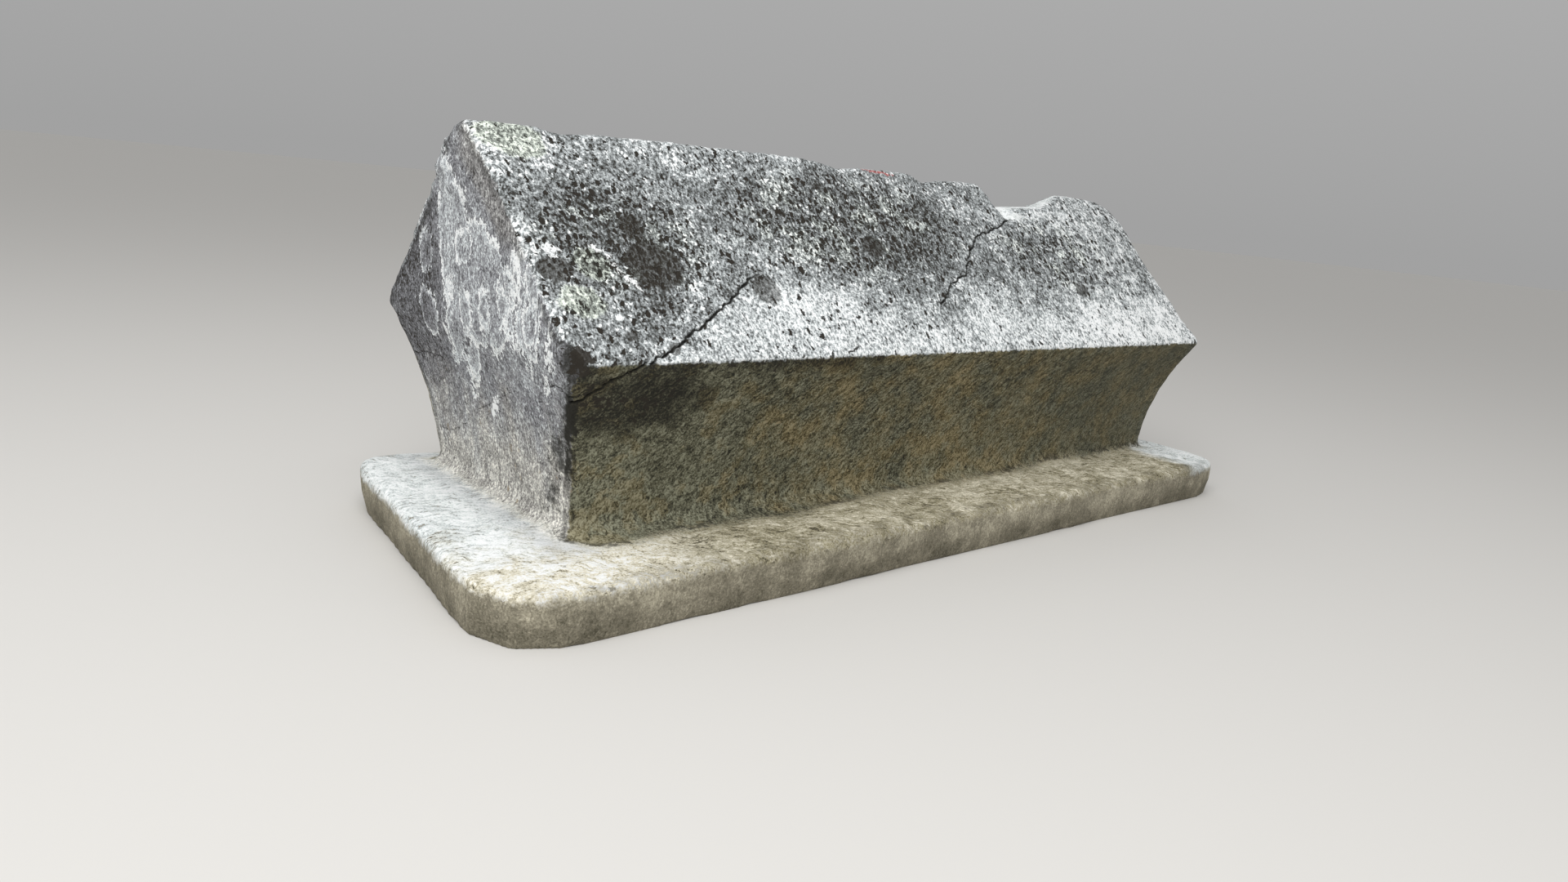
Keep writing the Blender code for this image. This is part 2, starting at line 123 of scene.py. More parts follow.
# Thin growths and stains: kind, face, half width in metres, and the line in shares
LINES = (
    ("white", "roof", 0.005, ((-0.877, 0.456), (-0.85, 0.416), (-0.842, 0.366), (-0.828, 0.332),
        (-0.807, 0.297))),
    ("red", "roof", 0.004, ((-0.06, 0.965), (0.029, 0.945))),
    # A dark band just under the eave: soot, with painted shade under the overhang
    ("stain", "wall", 0.008, ((-0.9, 0.97), (-0.62, 0.995), (-0.3, 0.985))),
    ("run", "wall", 0.006, ((-0.208, 0.87), (-0.212, 0.743), (-0.234, 0.528))),
    ("run", "wall", 0.006, ((-0.93, 0.08), (-0.9, 0.085))),
    ("run", "wall", 0.005, ((-0.925, 0.925), (-0.905, 0.945))),
    ("run", "wall", 0.003, ((-0.945, 0.94), (-0.955, 0.86), (-0.965, 0.78))),
)

# Cracks: face, half width and depth in metres, and the line in shares; the first three are open
CRACKS = (
    ("roof", 0.0018, 0.01, ((0.415, 0.755), (0.327, 0.681), (0.22, 0.617), (0.19, 0.56), (0.158, 0.512),
        (0.13, 0.45), (0.103, 0.392), (0.066, 0.37), (0.022, 0.328), (-0.002, 0.29), (-0.016, 0.256),
        (-0.04, 0.236))),
    ("roof", 0.0019, 0.01, ((-0.547, 0.349), (-0.595, 0.283), (-0.647, 0.223), (-0.692, 0.166),
        (-0.752, 0.1), (-0.796, 0.047), (-0.83, 0.03), (-0.852, -0.02))),
    ("wall", 0.0018, 0.009, ((-0.845, 1.03), (-0.88, 0.955), (-0.917, 0.892), (-0.945, 0.83),
        (-0.974, 0.77), (-1.0, 0.72))),
    ("roof", 0.0008, 0.003, ((-0.525, 0.366), (-0.547, 0.349))),
    ("roof", 0.0012, 0.004, ((-0.388, 0.014), (-0.366, 0.031), (-0.35, 0.048))),
    ("roof", 0.0008, 0.003, ((-0.615, 0.209), (-0.606, 0.167), (-0.61, 0.134))),
    ("wall", 0.001, 0.004, ((-0.06, 1.02), (-0.11, 0.93), (-0.15, 0.87))),
    ("end", 0.0005, 0.003, ((0.293, 0.21), (0.219, 0.228), (0.156, 0.232), (0.102, 0.241))),
    ("end", 0.0005, 0.003, ((0.116, 0.071), (0.033, 0.094), (-0.005, 0.128), (-0.032, 0.154),
        (-0.092, 0.186), (-0.186, 0.232))),
    ("end", 0.0008, 0.004, ((-0.277, 0.264), (-0.311, 0.274), (-0.345, 0.26), (-0.389, 0.25))),
)
OPEN_CRACKS = 3

# Reach in metres within which the open cracks are closed, in how many rounds, and reach of the finer faces
CLOSING_REACH, CLOSING_ROUNDS, FINE_REACH = 0.013, 150, 0.011

# Course of a crack: longest straight piece, greatest throw aside in metres and as a share of a piece, seed
CRACK_STEP, CRACK_SWAY, CRACK_THROW, CRACK_SEED = 0.006, 0.0028, 0.22, 11

# Groove of a crack: its reach in half widths, and two waves along it that make its width uneven
GROOVE_REACH, GROOVE_WAVES = 1.6, (57, 23)

# Kinds of growth in the order in which three share one attribute
KINDS = (("lichen", ("dark", "white", "crust")), ("wear", ("pitted", "washed", "stain")),
         ("traces", ("lace", "rim", "red")), ("breaks", ("crack", "bare", "run")))

# Greatest distance that is kept for a growth, and the pits' fade across a patch's edge, with its share there
FAR = 0.12
PITTED_FADE, PITTED_EDGE = 0.05, 0.3

# Broken eave corner: its reach in metres, how much each axis counts in it, and its pull on the end's finish
CHIP_REACH, CHIP_STRETCH, CHIP_SHARE = 0.042, (1.0, 1.0, 0.7), 3

# Dark marks in the broken corner, its dark lichen with painted shade of its hollow: middle from the sharp
# corner, reach in metres, and steepness
CHIP_LICHEN_AND_SHADE = (((0.026, 0.013, 0.004), 0.028, 6), ((0, 0, 0), 0.034, 1))

# Lumps along the back left arris: middle, reach and push in metres; size and share of their unevenness
LUMPS = (
    ((-0.913, 0.098, 0.696), 0.15, (-0.012, 0.012, 0.0)),
    ((-0.906, 0.22, 0.572), 0.12, (-0.002, 0.002, 0.0)),
    ((-0.899, 0.37, 0.42), 0.14, (-0.005, 0.005, 0.0)),
)
LUMP_GRAIN, LUMP_UNEVEN = 0.024, 0.7

# Grains: source, size of one grain in metres along, up and across, its turn, detail and roughness
GRAINS = {
    "fray": ("place", (0.013, 0.013, 0.013), (0, 0, 0), 3.0, 0.65),
    "cloud": ("place", (0.19, 0.19, 0.19), (0, 0, 0), 3.0, 0.6),
    "patch": ("bent", (0.055, 0.055, 0.055), (0, 0, 0), 4.0, 0.6),
    "speckle": ("slope", (0.0056, 0.0096, 0.0056), (0, 0, -0.2), 3.0, 0.6),
    "mottle": ("bent_slope", (0.017, 0.02, 0.017), (0, 0, -0.2), 3.0, 0.65),
    "dust": ("place", (0.0035, 0.0035, 0.0035), (0, 0, 0), 2.0, 0.6),
    "rings": ("bent_slope", (0.032, 0.04, 0.032), (0, 0, 0), 1.0, 0.5),
    "streak": ("bent", (0.0048, 0.0048, 0.014), (0, 0, 0), 3.0, 0.65),
    "veil": ("bent", (0.065, 0.05, 0.13), (0, 0, 0), 2.0, 0.5),
    "stroke": ("bent", (0.005, 0.03, 0.015), (0, 0.85, 0), 4.0, 0.62),
    "tread": ("bent_more", (0.026, 0.0075, 0.012), (0, 0, -0.55), 4.0, 0.65),
}

# Spots: source, size of a cell in metres, radius in cells, and whether the cells are flat or solid
SPOTS = {
    "granule": ("bent_slope", (0.0095, 0.011, 1.0), 0.31, "2D"),
    "hole": ("bent_slope", (0.015, 0.024, 1.0), 0.25, "2D"),
    "dot": ("bent_slope", (0.008, 0.011, 1.0), 0.24, "2D"),
    "fleck": ("bent", (0.024, 0.015, 0.024), 0.24, "3D"),
}
SPOT_FADE = 0.03

# Spots that are drawn: kind, share of their cells, and what makes them more or less frequent
SCATTERED = {
    "granules": ("granule", 0.18, dict(patch=1.8, cloud=1.0, near_gable=0.2, near_crest=0.2,
        in_pitted=-0.05, in_dark=-0.55, in_crust=-0.2, in_lace=0.2, in_washed=-0.16)),
    # holes: small holes in the roof, their darkness painted shade inside them
    "holes": ("hole", 0.12, dict(cloud=0.8, in_pitted=0.56, in_washed=-0.08, in_crust=-0.1)),
    "dots": ("dot", 0.15, dict(patch=-0.6, in_pitted=0.25, in_washed=-0.08, in_crust=-0.1)),
    "low_flecks": ("fleck", 0.16, {}),
    "base_flecks": ("fleck", 0.06, dict(outer=0.4, at_left=-0.06)),
}

# Masks: each has limits, which are a field, its values where the mask starts and is full, and what frays it
MASKS = {
    "in_washed": [("washed", -0.05, 0.055, dict(patch=0.16))],
    "in_pitted": [("pitted", -0.045, 0.045)],
    "in_lace": [("lace_lobe", -0.006, 0.006)],
    "in_dark": [("dark", -0.002, 0.002)],
    "in_crust": [("crust", -0.004, 0.004)],
    "near_gable": [("gable", 0.045, 0.006)],
    # near_crest: band along the ridge crest, with more white granules and a painted highlight
    "near_crest": [("up", 0.505, 0.545, dict(fray=0.03))],
    "in_rings": [("patch", 0.05, 0.09, dict(in_lace=0.3, near_gable=0.12, in_crust=0.3, in_washed=-0.06,
        in_dark=-0.3))],
    "crust_rim": [("crust", -0.005, -0.001), ("crust", 0.006, 0.002)],
    "lace_rim": [("lace_lobe", -0.004, -0.001), ("lace_lobe", 0.005, 0.002)],
    "ring_rim": [("rim_lobe", -0.004, -0.001), ("rim_lobe", 0.005, 0.002)],
    "roof_right": [("x", 0.2, 0.6)],
    "roof_far_right": [("x", 0.6, 0.8)],
    "roof_low_left": [("x", -0.45, -0.75), ("up", 0.3, 0.1)],
    "end_low": [("z", 0.34, 0.14, dict(veil=0.3))],
    "end_back": [("y", 0.13, 0.19, dict(patch=0.15)), ("z", 0.22, 0.34)],
    "end_high": [("z", 0.3, 0.42)],
    "end_high_back": [("z", 0.42, 0.5), ("y", 0.06, 0.12)],
    "end_strip": [("gable", -0.06, -0.036), ("z", 0.535, 0.575), ("y", 0.08, 0.03)],
    "gable_soot": [("gable", -0.022, -0.01), ("gable", 0.0, -0.006), ("patch", -0.06, 0.06)],
    "in_stain": [("stain", -0.02, 0.02, dict(patch=0.16, stroke=0.08))],
    # hollow: deepest part of the broken corner's marks, painted near black as the shade of its hollow
    "hollow": [("stain", 0.05, 0.075, dict(mottle=0.45))],
    "wall_left": [("x", -0.4, -0.62)],
    "wall_high": [("z", 0.12, 0.37)],
    "wall_right": [("x", 0.1, 0.95)],
    "amber": [("patch", 0.0, 0.12, dict(cloud=0.5))],
    "mossy": [("patch", -0.02, -0.12, dict(cloud=0.8, wall_left=-0.12))],
    "pale_run": [("run", -0.004, 0.004), ("stroke", -0.1, 0.1)],
    "in_white": [("white", -0.002, 0.002), ("mottle", -0.14, -0.02)],
    "in_red": [("red", -0.002, 0.004)],
    "in_bare": [("bare", 0.0, 0.006)],
    # in_crack_shade: the cracks' middles, painted near black as the shade inside them
    "in_crack_shade": [("crack", -0.0014, 0.0004, dict(dust=0.004))],
    "on_roof": [("gable", -0.003, 0.003), ("z", EAVE_Z - 0.004, EAVE_Z, dict(fray=0.014))],
    "on_wall": [("corner", -0.003, 0.003), ("z", EAVE_Z + 0.002, EAVE_Z - 0.002)],
    "on_base": [("foot", 0.016, -0.028, dict(tread=0.08))],
    "on_side": [("z", 0.082, 0.064, dict(fray=0.03))],
    "side_low": [("z", 0.06, 0.015)],
    "outer": [("y", -0.345, -0.395, dict(patch=0.16, tread=0.06))],
    "trodden": [("tread", -0.1, 0.05)],
    "in_cream": [("x", -0.55, -0.82, dict(patch=0.3, tread=0.1))],
    "at_left": [("x", -0.75, -0.82, dict(patch=0.1)), ("y", -0.34, -0.1, dict(patch=0.5, tread=0.15))],
    "at_right": [("x", 0.84, 0.92, dict(patch=0.1))],
    # left_foot: painted shade, a soft darkening of the left ledge close to the end's foot
    "left_foot": [("foot", -0.085, -0.006, dict(tread=0.04)), ("x", -0.8, -0.84)],
    # foot_dirt_and_shade: ragged dark line along the front wall's foot on the base, dirt and painted shade
    # in the crease
    "foot_dirt_and_shade": [("foot", -0.008, 0.0), ("foot", 0.022, 0.006), ("y", -0.14, -0.18),
        ("patch", 0.0, 0.06, dict(tread=0.8))],
    "corner_soot": [("corner", -0.02, -0.013), ("corner", 0.014, 0.008), ("x", -0.7, -0.8),
        ("y", 0.0, -0.1), ("patch", -0.16, -0.08), ("z", 0.1, 0.2, dict(veil=0.4, streak=0.3)),
        ("z", 0.345, 0.325)],
}

# Tones, from 0 for the darkest pit to 1 for the whitest lichen: the middle of each, and what changes it
TONES = {
    "roof": (0.43, dict(speckle=1.5, mottle=0.5, cloud=0.45, patch=0.26, dust=0.95, in_washed=0.24,
        # near_crest lightens the ridge crest: a painted highlight
        in_pitted=-0.12, near_crest=0.1, in_dark=-0.13, granules=0.44, ring=0.26, washed_speckle=0.45,
        # pit and dark_spots darken the mesh's pits and the small holes: painted shade in them
        crust_rim=0.1, dark_spots=-0.62, pit=-0.1, roof_right=0.15, right_mottle=1.0, roof_far_right=-0.06,
        roof_low_left=-0.06)),
    "end": (0.44, dict(streak=1.3, cloud=0.35, patch=0.4, dust=0.8, in_lace=0.08, nested=0.08, rims=0.38,
        end_low=0.12, end_back=-0.14, end_high=-0.03, end_high_back=0.035)),
    "wall": (0.5, dict(stroke=1.5, cloud=0.45, patch=0.25, dust=1.25, wall_high=-0.07, in_stain=-0.22,
        wall_left=0.03)),
    "base": (0.5, dict(tread=1.7, cloud=0.4, dust=0.9, patch=0.75)),
    "side": (0.56, dict(streak=0.7, cloud=0.7, dust=0.6, patch=0.7, side_low=-0.14)),
}

# Colours of each coat along a tone
RAMPS = {
    "roof": ("roof", ((0.06, "roof_black"), (0.24, "roof_dark"), (0.45, "roof_grey"), (0.65, "roof_pale"),
        (0.88, "roof_white"))),
    "end": ("end", ((0.1, "roof_black"), (0.28, "end_dark"), (0.5, "end_grey"), (0.68, "end_pale"),
        (0.84, "roof_white"))),
    "wall": ("wall", ((0.1, "soot"), (0.32, "wall_dark"), (0.5, "wall_olive"), (0.76, "wall_pale"))),
    "base": ("base", ((0.1, "base_dirt"), (0.36, "base_tan"), (0.6, "base_pale"), (0.86, "base_cream"))),
    "left": ("base", ((0.1, "side_tan"), (0.3, "roof_pale"), (0.47, "base_white"), (0.66, "roof_white"))),
    "cream": ("base", ((0.08, "base_dirt"), (0.3, "base_pale"), (0.5, "base_cream"),
        (0.74, "roof_white"))),
    "side": ("side", ((0.1, "side_earth"), (0.5, "side_tan"), (0.86, "base_pale"))),
}

# Coats with the tones of another, drawn towards a colour by a share
TINTS = {"crusty": ("roof", "crust", 0.4), "warm": ("end", "end_warm", 0.5),
         "moss": ("wall", "wall_moss", 0.55), "ochre": ("wall", "wall_ochre", 0.36)}

# Coats in the order in which they lie: the masks that bound each, its strength, and a coat or a colour
LAYERS = (
    ("end_low", 1.0, "warm"),
    ("end_strip", 0.55, "warm"),
    ("low_flecks end_low", 0.45, "wall_ochre"),
    ("gable_soot", 0.6, "soot"),
    # in_stain: real stains, and painted shade in the broken corner and under the eave
    ("in_stain", 0.86, "soot"),
    ("on_wall", 1.0, "wall"),
    ("on_wall amber off_left", 0.8, "ochre"),
    ("on_wall mossy", 0.85, "moss"),
    ("on_wall wall_right", 0.45, "wall_shade"),
    ("pale_run", 0.55, "wall_pale"),
    ("on_roof", 1.0, "roof"),
    ("on_roof in_dark dark_cover", 0.58, "dark_lichen"),
    ("on_roof in_crust", 0.9, "crusty"),
    ("on_roof in_pitted amber", 0.35, "crusty"),
    ("in_white", 0.95, "roof_white"),
    ("in_red", 0.7, "red_paint"),
    ("in_bare", 0.85, "left"),
    ("on_wall in_stain", 0.4, "soot"),
    # Painted shade: the broken corner's hollow near black
    ("hollow", 0.96, "roof_black"),
    ("corner_soot", 0.96, "soot"),
    ("on_base", 1.0, "base"),
    ("on_base in_cream", 0.85, "cream"),
    ("on_base at_left", 1.0, "left"),
    # Painted shade on the left ledge at the end's foot, in the end's lilac grey
    ("on_base left_foot", 0.45, "end_grey"),
    ("on_base at_right", 1.0, "left"),
    ("on_base base_flecks", 0.6, "base_dirt"),
    ("on_base outer trodden", 0.5, "base_dirt"),
    # Dirt and painted shade in the crease at the front wall's foot
    ("foot_dirt_and_shade", 0.65, "soot"),
    ("on_side", 1.0, "side"),
    # Painted shade inside the cracks
    ("in_crack_shade", 0.92, "soot"),
)

# Fine relief in metres, too small for the mesh: grains, small pits, granules and tool strokes
RELIEF = {
    "on_end": dict(streak=0.0018, dust=0.0008, patch=0.002),
    "on_roof": dict(speckle=0.0022, mottle=0.003, dust=0.0008, dark_spots=-0.003, granules=0.0012),
    "on_wall": dict(stroke=0.0045, dust=0.001),
    "on_base": dict(tread=0.004, dust=0.0008, patch=0.003),
}


def linear(hex_code):
    """Linear colour of an sRGB hex value."""
    parts = [int(hex_code[i:i + 2], 16) / 255 for i in (0, 2, 4)]
    return tuple(p / 12.92 if p <= 0.04045 else ((p + 0.055) / 1.055) ** 2.4 for p in parts)


def add(tree, kind, inputs=None, **settings):
    """Adds a node with its settings, and sets or links its inputs by name or number."""
    made = tree.nodes.new(kind)
    for name, value in settings.items():
        setattr(made, name, value)
    for key, value in (inputs or {}).items():
        if isinstance(value, bpy.types.NodeSocket):
            tree.links.new(value, made.inputs[key])
        else:
            made.inputs[key].default_value = value
    return made


def colour_property(name, hex_code):
    return FloatVectorProperty(name=name, description=f"Colour: {name.lower()}", subtype="COLOR",
                               size=3, min=0.0, max=1.0, default=linear(hex_code))


def length_property(name, description, value):
    return FloatProperty(name=name, description=description, default=value, min=0.0, precision=4,
                         subtype="DISTANCE", unit="LENGTH")


class StoneRelief(PropertyGroup):
    """Sizes of the stone's relief."""
    voxel: length_property("Voxel", "Size of the voxels that the solid is divided into", 0.0045)
    triangles: IntProperty(name="Triangles", description="Triangles of the finished stone",
                           default=164000, min=20000)
    swell: length_property("Swell", "Height of the broad unevenness of all faces", 0.003)
    swell_size: length_property("Swell size", "Length of the broad unevenness", 0.085)
    grit: length_property("Grit", "Height of the roughness of the roof", 0.002)
    grit_size: length_property("Grit size", "Length of the roughness", 0.018)
    pit_depth: length_property("Pit depth", "Depth of the pits in the roof", 0.005)
    pit_size: length_property("Pit size", "Spacing of the pits in the roof", 0.026)
    edge_wear: FloatProperty(name="Edge wear", description="How far the arrises are crumbled away",
                             default=0.9, min=0.0, max=1.0, subtype="FACTOR")
    edge_size: length_property("Nick size", "Length of the nicks in the arrises", 0.026)
    seed: IntProperty(name="Seed", description="Seed of the relief", default=4)


class StoneFinish(PropertyGroup):
    """Colours of the stone, its lichens and its stains."""
    roof_black: colour_property("Roof pits", "2E2A24")
    roof_dark: colour_property("Roof dark grey", "525554")
    roof_grey: colour_property("Roof grey", "8D9192")
    roof_pale: colour_property("Roof pale grey", "C3C9CA")
    roof_white: colour_property("White lichen", "FAFCFC")
    dark_lichen: colour_property("Dark lichen", "4B4A47")
    crust: colour_property("Grey-green crust", "8F9781")
    end_dark: colour_property("End dark grey", "6A6B6F")
    end_grey: colour_property("End lilac grey", "9C9DA1")
    end_warm: colour_property("End warm beige", "C6BEAE")
    end_pale: colour_property("End pale lichen", "D2D9DC")
    wall_dark: colour_property("Wall dark olive", "4F4B38")
    wall_olive: colour_property("Wall olive brown", "716C54")
    wall_shade: colour_property("Wall dark grey-green", "4C4D42")
    wall_ochre: colour_property("Wall ochre", "8A7344")
    wall_moss: colour_property("Wall grey-green", "74786A")
    wall_pale: colour_property("Wall pale grey-green", "99967F")
    # Near black: real stains, and the painted shade in the cracks, the broken corner, under the eave and at
    # the front wall's foot
    soot: colour_property("Black stain", "262520")
    base_cream: colour_property("Base cream", "F4EEDA")
    base_white: colour_property("Base bluish white", "E4EAE8")
    base_pale: colour_property("Base pale beige", "C6BFA9")
    base_tan: colour_property("Base beige-tan", "9B9479")
    base_dirt: colour_property("Base dirt", "4F4A3B")
    side_tan: colour_property("Slab side grey-tan", "8B8574")
    side_earth: colour_property("Slab side earth", "474435")
    red_paint: colour_property("Red paint", "B8453F")


class StudioLook(PropertyGroup):
    """Floor, light and camera."""
    floor_radius: length_property("Floor radius", "Radius of the floor", 40.0)
    floor_colour: colour_property("Floor", "D6D4D0")
    sky_low: FloatProperty(name="Sky, low", description="Strength of the light from the horizon",
                           default=0.36, min=0.0)
    sky_high: FloatProperty(name="Sky, high", description="Strength of the light from above",
                            default=0.62, min=0.0)
    key_power: FloatProperty(name="Key light", description="Power of the large soft light",
                             default=175.0, min=0.0, unit="POWER")
    key_size: length_property("Key size", "Side of the large soft light", 4.0)
    key_place: FloatVectorProperty(name="Key place", description="Middle of the large soft light",
                                   subtype="TRANSLATION", unit="LENGTH", size=3, default=(-2.6, -2.0, 3.6))
    lens: FloatProperty(name="Lens", description="Focal length on a 36 mm wide sensor", default=24.1875,
                        min=1.0, unit="CAMERA")


def coordinates(mesh, field="co"):
    """The places of a mesh's vertices, or another vector that they carry."""
    places = np.empty(len(mesh.vertices) * 3, np.float32)
    mesh.vertices.foreach_get(field, places)
    return places.reshape(-1, 3).astype(float)


def move_vertices(mesh, places):
    mesh.vertices.foreach_set("co", places.astype(np.float32).ravel())
    mesh.update()


def new_object(name, data):
    """An object in the scene, at the origin."""
    item = bpy.data.objects.new(name, data)
    bpy.context.scene.collection.objects.link(item)
    return item


def mesh_object(name, mesh):
    """An object made of a bmesh, which is used up."""
    data = bpy.data.meshes.new(name)
    mesh.to_mesh(data)
    mesh.free()
    return new_object(name, data)


def merged_copy(source, name):
    """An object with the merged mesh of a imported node, whose own mesh stays as it is."""
    mesh = bmesh.new()
    mesh.from_mesh(source.data)
    bmesh.ops.remove_doubles(mesh, verts=mesh.verts, dist=0.00001)
    return mesh_object(name, mesh)


def apply_modifiers(item):
    """Turns what an object's modifiers make into its plain mesh."""
    graph = bpy.context.evaluated_depsgraph_get()
    data = bpy.data.meshes.new_from_object(item.evaluated_get(graph), preserve_all_data_layers=True,
                                           depsgraph=graph)
    item.modifiers.clear()
    old = item.data
    item.data = data
    bpy.data.meshes.remove(old)


def face_gaps(places):
    """How far each point lies inside the planes of the ends, the long walls and the roof, in metres."""
    x, y, z = places.T
    flare = np.clip((z - BASE_TOP) / (EAVE_Z - BASE_TOP), 0, 1) ** 2
    rise = np.clip((z - EAVE_Z) / (APEX_Z - EAVE_Z), 0, 1)
    half_length = FOOT_HALF_LENGTH + (HALF_LENGTH - FOOT_HALF_LENGTH) * flare
    half_width = FOOT_HALF_WIDTH + (HALF_WIDTH - FOOT_HALF_WIDTH) * flare
    left = x - (MIDDLE_X - half_length + LEFT_LEAN * rise)
    right = (MIDDLE_X + half_length + RIGHT_LEAN * rise) - x
    across = np.abs(y - MIDDLE_Y)
    roof_z = EAVE_Z + (APEX_Z - EAVE_Z) * (1 - across / HALF_WIDTH)
    return np.minimum(left, right), half_width - across, (roof_z - z) * SLOPE_ALONG


def chip_places(places):
    """Places from the sharp eave corner that is broken off, with the height shortened."""
    return (places - (MIDDLE_X - HALF_LENGTH, MIDDLE_Y - HALF_WIDTH, EAVE_Z)) * CHIP_STRETCH


def up_roof(y, z):
    """How far up its slope each point lies, in metres from the eave."""
    return (HALF_WIDTH - np.abs(y - MIDDLE_Y)) * SLOPE_ALONG + (z - EAVE_Z) * SLOPE_UP


def zones(places):
    """Signed distances, in metres, that tell roof from ends, long walls from ends, and block from base."""
    x, y, z = places.T
    end_gap, wall_gap, roof_gap = face_gaps(places)
    in_chip = np.clip(CHIP_REACH - np.linalg.norm(chip_places(places), axis=1), 0, None)
    end_gap = end_gap - CHIP_SHARE * in_chip
    line = np.interp((x - MIDDLE_X) / HALF_LENGTH, *zip(*FOOT_LINE)) * HALF_LENGTH
    reach = np.where(y < MIDDLE_Y, line, FOOT_HALF_WIDTH + BACK_FOOT)
    out = np.maximum(np.abs(y - MIDDLE_Y) - reach, np.abs(x - MIDDLE_X) - FOOT_HALF_LENGTH - END_FOOT)
    foot = (z - BASE_TOP) * FOOT_RISE - out
    gable = end_gap - np.where(z > EAVE_Z, roof_gap, wall_gap)
    return np.stack((gable, end_gap - wall_gap, foot), axis=1)


def face_places(places, face):
    """Metres along and up a face, for the points that lie on the front or left face, and their numbers."""
    x, y, z = places.T
    gable, corner, foot = zones(places).T
    front, block = y < MIDDLE_Y, foot > -WALL_OVERLAP
    along, up = x - MIDDLE_X, z - BASE_TOP
    if face == "roof":
        on = front & (z > EAVE_Z - ROOF_OVERLAP) & (gable > -MARGIN)
        up = up_roof(y, z)
    elif face == "wall":
        on = front & (z < EAVE_Z + WALL_OVERLAP) & (corner > -MARGIN) & block
    else:
        on = (x < MIDDLE_X) & (gable < MARGIN) & block
        along = y - MIDDLE_Y + END_SLANT * (np.minimum(z, EAVE_Z) - EAVE_Z)
    numbers = np.flatnonzero(on)
    return np.stack((along, up), axis=1)[numbers], numbers


def line_distance(points, line):
    """Distance of points to a line of straight pieces, and the share along the line where it is nearest."""
    best = np.full(len(points), np.inf)
    share = np.zeros(len(points))
    steps = np.linalg.norm(np.diff(line, axis=0), axis=1)
    starts = np.concatenate(([0], np.cumsum(steps)))
    for i, (a, b) in enumerate(zip(line, line[1:])):
        along = np.clip((points - a) @ (b - a) / max(steps[i] ** 2, 1e-12), 0, 1)
        distance = np.linalg.norm(points - a - along[:, None] * (b - a), axis=1)
        nearer = distance < best
        best[nearer] = distance[nearer]
        share[nearer] = (starts[i] + along[nearer] * steps[i]) / starts[-1]
    return best, share


def oval_depth(points, middle, halves):
    """How far points lie inside an oval, in metres, minus outside it."""
    share = np.linalg.norm((points - middle) / halves, axis=1)
    return (1 - share) * min(halves)


def jagged(line, sway, rng):
    """A line divided again and again, with each new point thrown to one side, as stone splits."""
    while np.linalg.norm(np.diff(line, axis=0), axis=1).max() > CRACK_STEP:
        steps = np.diff(line, axis=0)
        lengths = np.linalg.norm(steps, axis=1)
        side = np.stack((-steps[:, 1], steps[:, 0]), axis=1) / lengths[:, None]
        throw = np.minimum(sway, lengths * CRACK_THROW) * rng.uniform(-1, 1, len(steps))
        middles = line[:-1] + steps / 2 + side * throw[:, None]
        merged = np.empty((len(line) * 2 - 1, 2))
        merged[0::2], merged[1::2] = line, middles
        line = merged
    return line


def crack_lines():
    """Every crack as its face, half width, depth and jagged line in metres."""
    rng = np.random.default_rng(CRACK_SEED)
    return [(face, width, depth, jagged(np.array(line) * FACE_SIZES[face], CRACK_SWAY, rng))
            for face, width, depth, line in CRACKS]


def relax(mesh, chosen, rounds):
    """Draws chosen vertices tight between the others, which closes a groove."""
    places = coordinates(mesh)
    edges = np.empty(len(mesh.edges) * 2, np.int32)
    mesh.edges.foreach_get("vertices", edges)
    edges = edges.reshape(-1, 2)
    edges = edges[chosen[edges].any(axis=1)]
    both = np.concatenate((edges, edges[:, ::-1]))
    both = both[chosen[both[:, 0]]]
    numbers = np.flatnonzero(chosen)
    rows = np.searchsorted(numbers, both[:, 0])
    counts = np.bincount(rows, minlength=len(numbers))[:, None]
    for _ in range(rounds):
        sums = np.stack([np.bincount(rows, places[both[:, 1], i], len(numbers)) for i in range(3)], axis=1)
        places[numbers] = sums / counts
    move_vertices(mesh, places)


def near_cracks(places, cracks, reach):
    """Points that lie within reach of one of the cracks."""
    near = np.zeros(len(places), bool)
    for face, _, _, line in cracks:
        points, numbers = face_places(places, face)
        near[numbers[line_distance(points, line)[0] < reach]] = True
    return near


def refine(item, chosen, rounds):
    """Divides the faces whose vertices are chosen by a function of their places."""
    for _ in range(rounds):
        mesh = bmesh.new()
        mesh.from_mesh(item.data)
        picked = chosen(coordinates(item.data))
        mesh.verts.ensure_lookup_table()
        edges = [edge for edge in mesh.edges if picked[edge.verts[0].index] and picked[edge.verts[1].index]]
        bmesh.ops.subdivide_edges(mesh, edges=edges, cuts=1, use_grid_fill=True)
        bmesh.ops.triangulate(mesh, faces=[face for face in mesh.faces if len(face.verts) > 3])
        mesh.to_mesh(item.data)
        mesh.free()


def open_cracks(mesh, cracks):
    """Sinks a V-shaped groove of uneven width along every crack."""
    places, normals = coordinates(mesh), coordinates(mesh, "normal")
    sink = np.zeros(len(places))
    for face, width, depth, line in cracks:
        points, numbers = face_places(places, face)
        distance, share = line_distance(points, line)
        long_wave, short_wave = np.sin(share * GROOVE_WAVES[1] + 2), np.sin(share * GROOVE_WAVES[0])
        reach = GROOVE_REACH * width * (0.75 + 0.5 * short_wave * long_wave)
        sink[numbers] = np.maximum(sink[numbers], np.clip(1 - distance / reach, 0, 1) * depth)
    move_vertices(mesh, places - normals * sink[:, None])


def push_lumps(mesh):
    """Pushes the crumbly lumps of the back left arris out unevenly."""
    places = coordinates(mesh)
    moved = places.copy()
    for middle, reach, push in LUMPS:
        share = np.clip(1 - np.linalg.norm(places - middle, axis=1) / reach, 0, 1)
        near = np.flatnonzero(share)
        uneven = np.array([noise.noise(Vector(place) / LUMP_GRAIN) for place in places[near]])
        weight = share[near] ** 2 * (3 - 2 * share[near]) * (1 + LUMP_UNEVEN * uneven)
        moved[near] += weight[:, None] * push
    move_vertices(mesh, moved)


